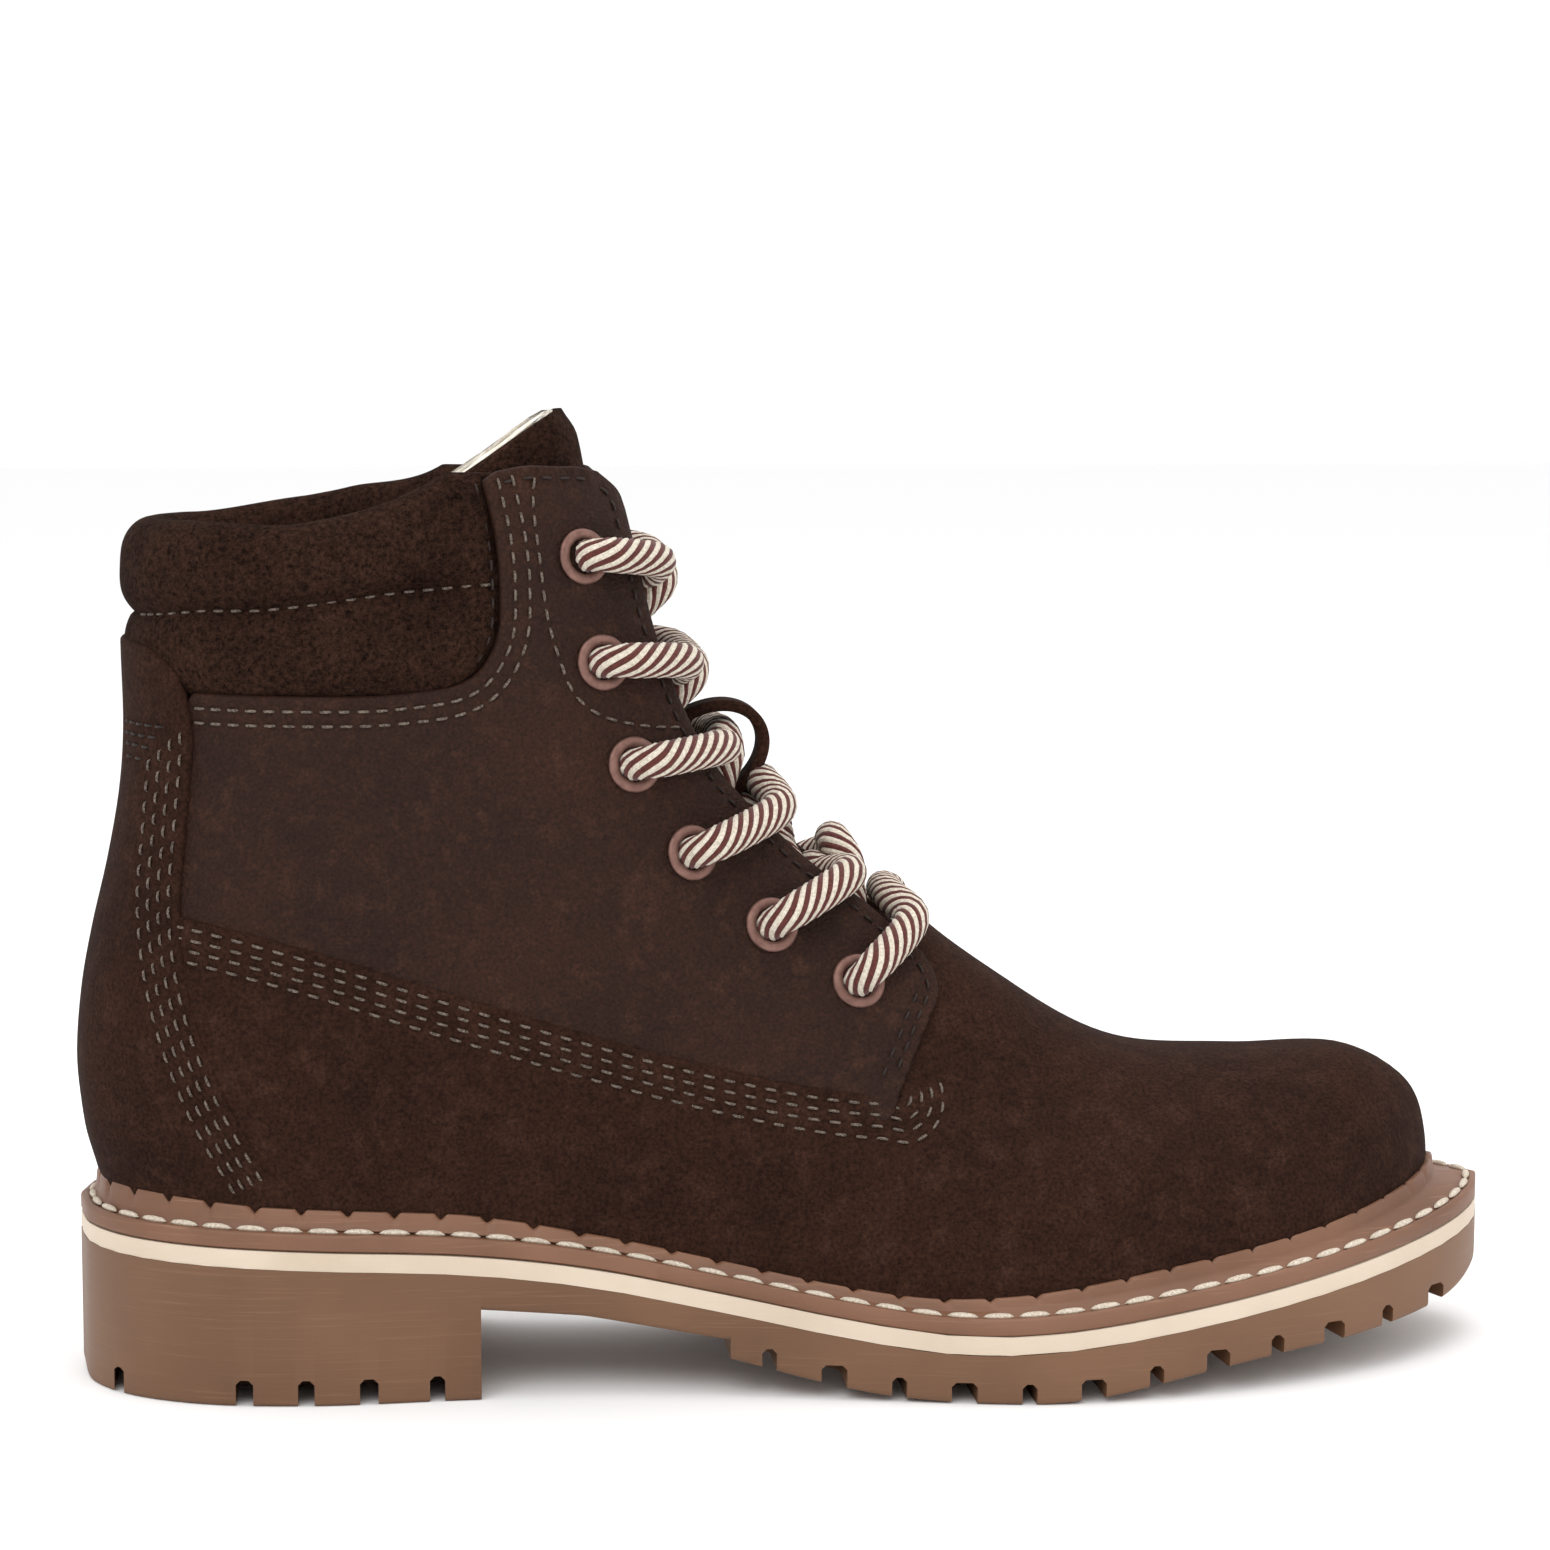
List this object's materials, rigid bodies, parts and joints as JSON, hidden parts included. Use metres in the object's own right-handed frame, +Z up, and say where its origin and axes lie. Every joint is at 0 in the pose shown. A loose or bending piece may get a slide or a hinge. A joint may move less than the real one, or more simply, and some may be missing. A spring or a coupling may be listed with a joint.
{
  "type": "lace-up winter boot",
  "caption": "Fleece-lined lace-up ankle boot for the right foot: nubuck and grain leather upper, padded suede collar, rope laces and a stitched, lugged rubber sole.",
  "frame": {"origin": "bottom centre of the boot's box, on the floor under the arch", "axes": "+X from heel to toe, +Y to the inner (medial) side of the foot, +Z up"},
  "size_m": [0.2892, 0.0994, 0.1938],
  "materials": {
    "gum_rubber": "matt brown gum rubber",
    "cream_rubber": "matt cream rubber",
    "board": "pressed fibre board",
    "steel": "plain strip steel",
    "fleece": "cream sherpa pile",
    "nubuck": "dark chocolate nubuck, fine nap",
    "grain_leather": "tumbled pebbled grain, satin",
    "suede": "brown suede, soft nap",
    "antique_copper": "antique copper plate",
    "lace": "braided cream and maroon round cord",
    "aglet": "clear brown plastic tip"
  },
  "bodies": {
    "boot": {"outsole": "gum_rubber", "welt": "gum_rubber", "midsole": "cream_rubber", "bottom_filler": "board", "insole_board": "board", "toe_puff": "board", "heel_counter": "board", "shank": "steel", "shaft_lining": "fleece", "vamp_lining": "fleece", "vamp": "nubuck", "backstay": "nubuck", "quarter_lateral": "grain_leather", "quarter_medial": "grain_leather", "collar": "suede", "eyelet_lateral_1": "antique_copper", "eyelet_lateral_2": "antique_copper", "eyelet_lateral_3": "antique_copper", "eyelet_lateral_4": "antique_copper", "eyelet_lateral_5": "antique_copper", "eyelet_lateral_6": "antique_copper", "eyelet_medial_1": "antique_copper", "eyelet_medial_2": "antique_copper", "eyelet_medial_3": "antique_copper", "eyelet_medial_4": "antique_copper", "eyelet_medial_5": "antique_copper", "eyelet_medial_6": "antique_copper", "lace": "lace", "lace_end_lateral": "lace", "lace_end_medial": "lace", "aglet_lateral": "aglet", "aglet_medial": "aglet"},
    "tongue": {"tongue": "suede", "tongue_lining": "fleece", "lace_keeper": "nubuck"},
    "footbed": {"footbed": "fleece"}
  },
  "joints": [
    {"name": "tongue_tilt", "type": "hinge", "parent": "boot", "child": "tongue", "pos_m": [0.0135, 0.00049, 0.07], "axis": [0, -1, 0], "range_deg": [0, 1.8]},
    {"name": "footbed_lift", "type": "hinge", "parent": "boot", "child": "footbed", "pos_m": [0.1232, 0.00049, 0.03168], "axis": [0, 1, 0], "range_deg": [0, 3]}
  ]
}
